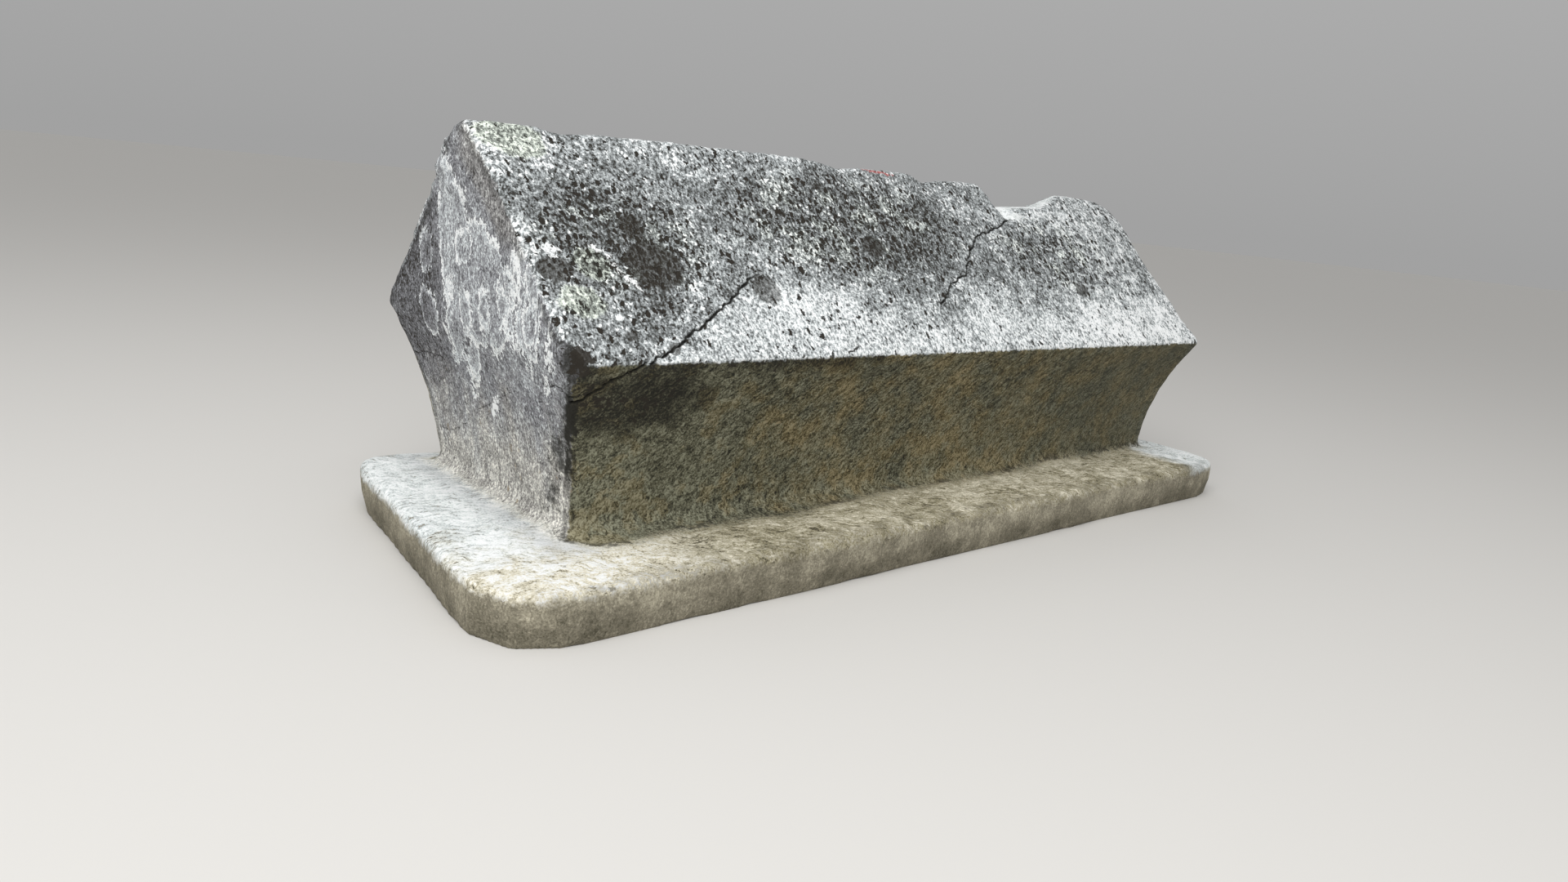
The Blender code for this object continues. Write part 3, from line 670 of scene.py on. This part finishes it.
def growth_fields(places):
    """Signed distance, in metres, into each kind of growth or stain, positive inside it."""
    fields = {kind: np.full(len(places), -FAR) for _, kinds in KINDS for kind in kinds}

    def grow(kind, depth, numbers=slice(None)):
        fields[kind][numbers] = np.maximum(fields[kind][numbers], depth)

    for (kind, face), ovals in PATCHES.items():
        points, numbers = face_places(places, face)
        for along, up, *halves in ovals:
            grow(kind, oval_depth(points, np.multiply((along, up), FACE_SIZES[face]), halves), numbers)
    for kind, face, width, line in LINES:
        points, numbers = face_places(places, face)
        grow(kind, width - line_distance(points, np.multiply(line, FACE_SIZES[face]))[0], numbers)
    x, y, z = places.T
    along = (x - MIDDLE_X) / HALF_LENGTH
    fields["washed"] = np.interp(along, *zip(*WASHED_LINE)) * SLOPE_LENGTH - up_roof(y, z)
    in_notch = (along > NOTCH_SPAN[0]) & (along < NOTCH_SPAN[1]) & (z > EAVE_Z + NOTCH_HEIGHT)
    grow("bare", np.where(in_notch, face_gaps(places)[2] - NOTCH_DEPTH, -FAR))
    # Dark lichen and painted shade of the hollow in the broken corner
    for middle, reach, steepness in CHIP_LICHEN_AND_SHADE:
        grow("stain", (reach - np.linalg.norm(chip_places(places) - middle, axis=1)) * steepness)
    return fields


def write_field(mesh, name, values):
    """Stores one vector for each vertex under a name."""
    field = mesh.attributes.new(name, "FLOAT_VECTOR", "POINT")
    field.data.foreach_set("vector", values.astype(np.float32).ravel())


def mark_faces(mesh, cracks):
    """Stores where each zone, growth and crack is, for the material."""
    places = coordinates(mesh)
    write_field(mesh, "zones", zones(places))
    fields = growth_fields(places)
    for face, width, _, line in cracks:
        points, numbers = face_places(places, face)
        inside = width - line_distance(points, line)[0]
        fields["crack"][numbers] = np.maximum(fields["crack"][numbers], inside)
    for name, kinds in KINDS:
        write_field(mesh, name, np.clip(np.stack([fields[kind] for kind in kinds], axis=1), -FAR, FAR))


def slope_coordinates(tree, place):
    """Coordinates along the stone, up either slope and across it, from places in the frame."""
    parts = add(tree, "ShaderNodeSeparateXYZ", {0: place}).outputs
    across = add(tree, "ShaderNodeMath", {0: parts["Y"], 1: MIDDLE_Y}, operation="SUBTRACT").outputs[0]
    across = add(tree, "ShaderNodeMath", {0: across}, operation="ABSOLUTE").outputs[0]
    folded = add(tree, "ShaderNodeCombineXYZ", {"X": parts["X"], "Y": across, "Z": parts["Z"]}).outputs[0]
    turned = {"X": parts["X"]}
    for axis, way in (("Y", (0, -SLOPE_ALONG, SLOPE_UP)), ("Z", (0, SLOPE_UP, SLOPE_ALONG))):
        dot = add(tree, "ShaderNodeVectorMath", {0: folded, 1: way}, operation="DOT_PRODUCT")
        turned[axis] = dot.outputs["Value"]
    return add(tree, "ShaderNodeCombineXYZ", turned).outputs[0]


def sum_up(tree, total, parts):
    """Adds weighted fields to a starting value."""
    for field, weight in parts:
        inputs = {0: field, 1: weight, 2: total}
        total = add(tree, "ShaderNodeMath", inputs, operation="MULTIPLY_ADD").outputs[0]
    return total


def times(tree, *fields):
    """Product of fields and numbers."""
    total = fields[0]
    for field in fields[1:]:
        total = add(tree, "ShaderNodeMath", {0: total, 1: field}, operation="MULTIPLY").outputs[0]
    return total


def where(tree, *limits):
    """Field that is 1 where every given field lies past its own soft limit, and 0 elsewhere."""
    steps = [add(tree, "ShaderNodeMapRange", {"Value": field, "From Min": low, "From Max": high},
                 interpolation_type="SMOOTHSTEP").outputs[0] for field, low, high in limits]
    return times(tree, *steps)


def weathering_tree(settings):
    """Geometry Nodes that crumble the arrises, roughen the faces and pit the roof of a fine mesh."""
    tree = bpy.data.node_groups.new("stone_weathering", "GeometryNodeTree")

    def socket(name, kind, in_out="INPUT"):
        return tree.interface.new_socket(name, in_out=in_out, socket_type=f"NodeSocket{kind}").identifier

    def density(name):
        """How many of the named size fit into a metre."""
        return add(tree, "ShaderNodeMath", {0: 1.0, 1: given[name]}, operation="DIVIDE").outputs[0]

    socket("Geometry", "Geometry")
    values = {socket(name.replace("_", " ").capitalize(), "Float"): float(getattr(settings, name))
              for name in ("swell", "swell_size", "grit", "grit_size", "pit_depth", "pit_size", "edge_wear",
                           "edge_size", "seed")}
    finish = socket("Finish", "Material")
    socket("Geometry", "Geometry", "OUTPUT")
    given = add(tree, "NodeGroupInput").outputs
    place = add(tree, "GeometryNodeInputPosition").outputs[0]
    normal = add(tree, "GeometryNodeInputNormal").outputs["Normal"]
    height = add(tree, "ShaderNodeSeparateXYZ", {0: place}).outputs["Z"]

    # Arrises: the place where each point would lie on a rounded stone, taken in uneven nicks
    rounded = add(tree, "GeometryNodeBlurAttribute", {"Value": place, "Iterations": 7},
                  data_type="FLOAT_VECTOR").outputs[0]
    nick_at = add(tree, "ShaderNodeVectorMath", {0: place, "Scale": density("Edge size")}, operation="SCALE")
    nicks = add(tree, "ShaderNodeTexNoise", {"Vector": nick_at.outputs[0], "W": given["Seed"], "Scale": 1.0,
                                             "Detail": 3.0, "Roughness": 0.6}, noise_dimensions="4D")
    bite = where(tree, (nicks.outputs[0], 0.48, 0.62), (height, BASE_TOP, BASE_TOP + 0.1))
    bite = times(tree, bite, given["Edge wear"])
    worn = add(tree, "ShaderNodeMix", {0: bite, 4: place, 5: rounded}, data_type="VECTOR").outputs[1]
    body = add(tree, "GeometryNodeSetPosition", {"Geometry": given["Geometry"], "Position": worn}).outputs[0]

    # Faces: broad unevenness, grit that is strongest on the roof, and pits that run down the slope
    uneven = {}
    for name, detail in (("Swell", 2.0), ("Grit", 4.0)):
        grain = add(tree, "ShaderNodeTexNoise", {"Vector": place, "W": given["Seed"], "Detail": detail,
                                                 "Scale": density(f"{name} size"), "Roughness": 0.6},
                    noise_dimensions="4D").outputs[0]
        grain = add(tree, "ShaderNodeMath", {0: grain, 1: 0.5}, operation="SUBTRACT").outputs[0]
        uneven[name] = times(tree, grain, given[name])
    on_roof = where(tree, (height, EAVE_Z - 0.01, EAVE_Z + 0.02))
    grit = times(tree, uneven["Grit"], sum_up(tree, 0.4, ((on_roof, 0.6),)))
    slope = add(tree, "ShaderNodeVectorMath", {0: slope_coordinates(tree, place), 1: (1.0, 0.5, 1.0)},
                operation="MULTIPLY").outputs[0]
    cells = add(tree, "ShaderNodeTexVoronoi", {"Vector": slope, "W": given["Seed"],
                                               "Scale": density("Pit size")}, voronoi_dimensions="4D")
    pick = add(tree, "ShaderNodeSeparateXYZ", {0: cells.outputs["Color"]}).outputs["X"]
    pitted = add(tree, "GeometryNodeInputNamedAttribute", {"Name": "pitted"}, data_type="FLOAT").outputs[0]
    chance = sum_up(tree, 0.0, ((pick, 1.0), (pitted, 0.45)))
    pit = where(tree, (cells.outputs["Distance"], 0.5, 0.12), (chance, 0.6, 0.85),
                (height, EAVE_Z, EAVE_Z + 0.05))
    sunk = times(tree, pit, given["Pit depth"])
    lift = sum_up(tree, 0.0, ((uneven["Swell"], 2.0), (grit, 2.0), (sunk, -1.0)))
    lift = times(tree, lift, where(tree, (height, 0.004, 0.03)))
    offset = add(tree, "ShaderNodeVectorMath", {0: normal, "Scale": lift}, operation="SCALE").outputs[0]
    # The pit mask is stored too, so that the finish paints shade into the pits
    body = add(tree, "GeometryNodeStoreNamedAttribute", {"Geometry": body, "Name": "pit", "Value": pit},
               data_type="FLOAT", domain="POINT").outputs[0]
    body = add(tree, "GeometryNodeSetPosition", {"Geometry": body, "Offset": offset}).outputs[0]
    body = add(tree, "GeometryNodeRealizeInstances", {0: body}).outputs[0]
    body = add(tree, "GeometryNodeSetMaterial", {"Geometry": body, "Material": given["Finish"]}).outputs[0]
    add(tree, "NodeGroupOutput", {0: body})
    return tree, values, finish


class TOMBSTONE_OT_stone(Operator):
    """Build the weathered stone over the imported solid"""
    bl_idname = "tombstone.stone"
    bl_label = "Weathered Stone"

    def execute(self, context):
        settings = context.scene.stone_relief
        finish = weathered_limestone(context.scene.stone_finish)
        stone = merged_copy(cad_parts["tombstone"], "weathered_stone")
        step = stone.modifiers.new("voxels", "REMESH")
        step.mode = "VOXEL"
        step.voxel_size = settings.voxel
        apply_modifiers(stone)

        cracks = crack_lines()
        grooves = near_cracks(coordinates(stone.data), cracks[:OPEN_CRACKS], CLOSING_REACH)
        relax(stone.data, grooves, CLOSING_ROUNDS)
        pitted = stone.data.attributes.new("pitted", "FLOAT", "POINT")
        inside = growth_fields(coordinates(stone.data))["pitted"] / PITTED_FADE + PITTED_EDGE
        pitted.data.foreach_set("value", np.clip(inside, 0, 1).astype(np.float32))

        tree, values, finish_socket = weathering_tree(settings)
        step = stone.modifiers.new("weathering", "NODES")
        step.node_group = tree
        for identifier, value in values.items():
            step[identifier] = value
        step[finish_socket] = finish
        apply_modifiers(stone)

        step = stone.modifiers.new("thinning", "DECIMATE")
        step.ratio = settings.triangles / (2 * len(stone.data.polygons))
        apply_modifiers(stone)
        refine(stone, lambda places: near_cracks(places, cracks, FINE_REACH), 2)
        open_cracks(stone.data, cracks)
        mark_faces(stone.data, cracks)
        push_lumps(stone.data)
        stone.data.materials.clear()
        stone.data.materials.append(finish)
        stone.data.shade_smooth()
        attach(stone, "root")
        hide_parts("tombstone")
        print("triangles", sum(len(face.vertices) - 2 for face in stone.data.polygons))
        return {"FINISHED"}


def contours(tree, field, count, low, high):
    """Level lines of a field, as lichens leave where they meet: 1 on a line, 0 between lines."""
    wave = add(tree, "ShaderNodeMath", {0: field, 1: count}, operation="MULTIPLY").outputs[0]
    gap = add(tree, "ShaderNodeMath", {0: wave, 1: 0.5}, operation="PINGPONG").outputs[0]
    return where(tree, (gap, high, low))


def hued(stops, hue, share):
    """The tones of some stops, drawn towards one hue without a change in brightness."""
    return [(at, [part + share * (h * sum(colour) / sum(hue) - part) for part, h in zip(colour, hue)])
            for at, colour in stops]


def weathered_limestone(colours):
    """Limestone weathered for centuries outdoors.

    Frost and rain leave a rough, matt grey skin with dark pits and white lichen on the slopes; the ends are
    lilac grey with pale rims, the sheltered walls keep an olive brown film, and feet polish the base pale.
    Shade is painted into the pits, holes and cracks, the broken corner, under the eave and at the foot of
    the front wall and of the end, and a highlight along the ridge crest.
    """
    material = bpy.data.materials.new("weathered_limestone")
    material.use_nodes = True
    tree = material.node_tree
    shader = tree.nodes["Principled BSDF"]
    for name, value in (("Roughness", 0.9), ("IOR", 1.5), ("Specular IOR Level", 0.25)):
        shader.inputs[name].default_value = value
    fields = {}

    def total(start, weights=None):
        """A number or a named field, and weighted named fields on top."""
        parts = [(fields[name], weight) for name, weight in (weights or {}).items()]
        return sum_up(tree, fields.get(start, start), parts)

    def product(names):
        return times(tree, *(fields[name] for name in names.split()))

    # Places, and the same thrown about by a few millimetres, so that no grain or cell keeps a clean outline
    place = add(tree, "ShaderNodeTexCoord").outputs["Object"]
    slope = slope_coordinates(tree, place)
    throw = add(tree, "ShaderNodeTexNoise", {"Vector": place, "Scale": 80, "Detail": 2.0, "Roughness": 0.6})
    throw = add(tree, "ShaderNodeVectorMath", {0: throw.outputs["Color"], 1: (0.5, 0.5, 0.5)},
                operation="SUBTRACT").outputs[0]
    throw = add(tree, "ShaderNodeVectorMath", {0: throw, "Scale": 0.018}, operation="SCALE").outputs[0]
    bow = add(tree, "ShaderNodeTexNoise", {"Vector": place, "Scale": 14, "Detail": 1.0}).outputs["Color"]
    bow = add(tree, "ShaderNodeVectorMath", {0: bow, "Scale": 0.08}, operation="SCALE").outputs[0]
    sources = {"place": place, "slope": slope}
    for name, source, shift in (("bent", "place", throw), ("bent_slope", "slope", throw),
                                ("bent_more", "bent", bow)):
        sources[name] = add(tree, "ShaderNodeVectorMath", {0: sources[source], 1: shift}).outputs[0]

    fields.update(zip("xyz", add(tree, "ShaderNodeSeparateXYZ", {0: place}).outputs))
    fields["up"] = add(tree, "ShaderNodeSeparateXYZ", {0: slope}).outputs["Y"]
    # pit: where the finish paints shade into the mesh's pits
    fields["pit"] = add(tree, "ShaderNodeAttribute", attribute_name="pit").outputs["Fac"]
    for name, (source, size, turn, detail, roughness) in GRAINS.items():
        at = add(tree, "ShaderNodeMapping", {"Vector": sources[source], "Rotation": turn, "Scale": size},
                 vector_type="TEXTURE").outputs[0]
        grain = add(tree, "ShaderNodeTexNoise", {"Vector": at, "Scale": 1.0, "Detail": detail,
                                                 "Roughness": roughness}).outputs[0]
        fields[name] = add(tree, "ShaderNodeMath", {0: grain, 1: 0.5}, operation="SUBTRACT").outputs[0]

    # Growths, stains and zones that the mesh carries; all but the cracks have frayed edges
    for name, kinds in KINDS + (("zones", ("gable", "corner", "foot")),):
        carried = add(tree, "ShaderNodeAttribute", attribute_name=name).outputs["Vector"]
        fields.update(zip(kinds, add(tree, "ShaderNodeSeparateXYZ", {0: carried}).outputs))
        for kind in kinds:
            if kind != "crack":
                fields[kind] = total(kind, dict(fray=0.03, dust=0.008))
    for name in ("lace", "rim"):
        fields[name + "_lobe"] = total(name, dict(veil=0.07, streak=0.035))
    for name, limits in MASKS.items():
        limits = [(total(source, *frays), low, high) for source, low, high, *frays in limits]
        fields[name] = where(tree, *limits)

    # Spots in cells, and the lines where lichens meet
    cells = {}
    for name, (source, size, radius, space) in SPOTS.items():
        at = add(tree, "ShaderNodeMapping", {"Vector": sources[source], "Scale": size,
                                             "Rotation": (0, 0, -0.2)}, vector_type="TEXTURE").outputs[0]
        cell = add(tree, "ShaderNodeTexVoronoi", {"Vector": at, "Scale": 1.0}, voronoi_dimensions=space)
        parts = add(tree, "ShaderNodeSeparateXYZ", {0: cell.outputs["Color"]}).outputs
        near = sum_up(tree, cell.outputs["Distance"], ((fields["dust"], 0.25), (parts["Y"], 0.12)))
        cells[name] = (where(tree, (near, radius + 0.11, radius + 0.02)), parts["X"])
    for name, (kind, share, weights) in SCATTERED.items():
        spot, fields["chance"] = cells[kind]
        drawn = where(tree, (total("chance", weights), 1 - share - SPOT_FADE, 1 - share + SPOT_FADE))
        fields[name] = times(tree, spot, drawn)
    # dark_spots: painted shade in the small holes, and the dark dots
    for name, first, second in (("dark_spots", "holes", "dots"), ("rims", "lace_rim", "ring_rim")):
        fields[name] = add(tree, "ShaderNodeMath", {0: fields[first], 1: fields[second]},
                           operation="MAXIMUM").outputs[0]
    fields["rims"] = times(tree, fields["rims"], total(1.0, dict(patch=3.0)))
    fields["ring"] = times(tree, contours(tree, fields["rings"], 4.5, 0.05, 0.13), fields["in_rings"])
    fields["nested"] = times(tree, contours(tree, fields["veil"], 9.0, 0.04, 0.11), fields["in_lace"])
    fields["washed_speckle"] = product("in_washed speckle")
    fields["right_mottle"] = product("roof_right mottle")
    fields["off_left"] = total(1.0, dict(wall_left=-0.7))

    # Tones, coats and layers
    fields.update({name: total(middle, weights) for name, (middle, weights) in TONES.items()})
    fields["dark_cover"] = where(tree, (fields["roof"], 0.1, 0.22))
    ramps = {name: (tone, [(at, getattr(colours, colour)) for at, colour in stops])
             for name, (tone, stops) in RAMPS.items()}
    ramps.update({name: (tone, hued(ramps[tone][1], getattr(colours, hue), share))
                  for name, (tone, hue, share) in TINTS.items()})
    coats = {}
    for name, (tone, stops) in ramps.items():
        ramp = add(tree, "ShaderNodeValToRGB", {0: fields[tone]})
        coats[name] = ramp.outputs[0]
        while len(ramp.color_ramp.elements) < len(stops):
            ramp.color_ramp.elements.new(1.0)
        for element, (at, colour) in zip(ramp.color_ramp.elements, stops):
            element.position = at
            element.color = (*colour, 1.0)
    skin = coats["end"]
    for names, strength, coat in LAYERS:
        mask = times(tree, product(names), strength)
        coat = coats[coat] if coat in coats else (*getattr(colours, coat), 1.0)
        skin = add(tree, "ShaderNodeMix", {0: mask, 6: skin, 7: coat}, data_type="RGBA").outputs[2]
    tree.links.new(skin, shader.inputs["Base Color"])

    raised = total(0.0, RELIEF["on_end"])
    for name in ("on_roof", "on_wall", "on_base"):
        finer = total(0.0, RELIEF[name])
        raised = add(tree, "ShaderNodeMix", {0: fields[name], 2: raised, 3: finer}).outputs[0]
    bump = add(tree, "ShaderNodeBump", {"Strength": 1.0, "Distance": 1.0, "Height": raised})
    tree.links.new(bump.outputs[0], shader.inputs["Normal"])
    return material


def studio_floor(settings):
    """A large pale floor of plain matt paint at ground level."""
    mesh = bmesh.new()
    bmesh.ops.create_circle(mesh, cap_ends=True, radius=settings.floor_radius, segments=96)
    floor = mesh_object("studio_floor", mesh)
    paint = bpy.data.materials.new("matt_floor_paint")
    paint.use_nodes = True
    shader = paint.node_tree.nodes["Principled BSDF"]
    shader.inputs["Base Color"].default_value = (*settings.floor_colour, 1.0)
    shader.inputs["Roughness"].default_value = 0.9
    floor.data.materials.append(paint)


def studio_light(settings):
    """Soft light from all round, stronger from above as under an overcast sky, and one large soft lamp."""
    world = bpy.data.worlds.new("studio")
    world.use_nodes = True
    bpy.context.scene.view_settings.view_transform = "Standard"
    sky = world.node_tree.nodes["Background"]
    sky.inputs["Color"].default_value = (1.0, 1.0, 1.0, 1.0)
    ray = add(world.node_tree, "ShaderNodeTexCoord").outputs["Generated"]
    height = add(world.node_tree, "ShaderNodeSeparateXYZ", {0: ray}).outputs["Z"]
    strength = add(world.node_tree, "ShaderNodeMapRange",
                   {"Value": height, "To Min": settings.sky_low, "To Max": settings.sky_high})
    world.node_tree.links.new(strength.outputs[0], sky.inputs["Strength"])
    bpy.context.scene.world = world
    lamp = bpy.data.lights.new("key_light", "AREA")
    lamp.energy = settings.key_power
    lamp.size = settings.key_size
    key = new_object("key_light", lamp)
    key.location = settings.key_place
    key.rotation_euler = (-key.location).to_track_quat("-Z", "Y").to_euler()


def studio_camera(settings):
    """The camera at the photograph's viewing angle."""
    data = bpy.data.cameras.new("camera")
    data.sensor_width = 36.0
    data.lens = settings.lens
    camera = new_object("camera", data)
    right = (0.747731, -0.656358, 0.100463)
    up = (0.080788, 0.240102, 0.96738)
    back = (-0.659069, -0.715224, 0.232557)
    place = (-1.687828, -1.62373, 0.682955)
    rows = [(*turn, spot) for turn, spot in zip(zip(right, up, back), place)]
    camera.matrix_world = Matrix(rows + [(0, 0, 0, 1)])
    bpy.context.scene.camera = camera


class TOMBSTONE_OT_stage(Operator):
    """Build the floor, the light and the camera"""
    bl_idname = "tombstone.stage"
    bl_label = "Studio"

    def execute(self, context):
        settings = context.scene.studio_look
        studio_floor(settings)
        studio_light(settings)
        studio_camera(settings)
        return {"FINISHED"}


class TOMBSTONE_PT_panel(Panel):
    """Sizes, colours and the steps that build the stone"""
    bl_label = "Weathered Tombstone"
    bl_space_type = "VIEW_3D"
    bl_region_type = "UI"
    bl_category = "Stone"

    def draw(self, context):
        for group, operator in (("stone_relief", "tombstone.stone"), ("stone_finish", None),
                                ("studio_look", "tombstone.stage")):
            box = self.layout.box()
            settings = getattr(context.scene, group)
            for name in settings.bl_rna.properties.keys():
                if name not in ("rna_type", "name"):
                    box.prop(settings, name)
            if operator:
                box.operator(operator)


CLASSES = (StoneRelief, StoneFinish, StudioLook, TOMBSTONE_OT_stone, TOMBSTONE_OT_stage, TOMBSTONE_PT_panel)


def register():
    for item in CLASSES:
        bpy.utils.register_class(item)
    bpy.types.Scene.stone_relief = PointerProperty(type=StoneRelief)
    bpy.types.Scene.stone_finish = PointerProperty(type=StoneFinish)
    bpy.types.Scene.studio_look = PointerProperty(type=StudioLook)


def unregister():
    del bpy.types.Scene.studio_look
    del bpy.types.Scene.stone_finish
    del bpy.types.Scene.stone_relief
    for item in reversed(CLASSES):
        bpy.utils.unregister_class(item)


def main():
    register()
    bpy.ops.tombstone.stone()
    bpy.ops.tombstone.stage()


if __name__ == "__main__":
    main()
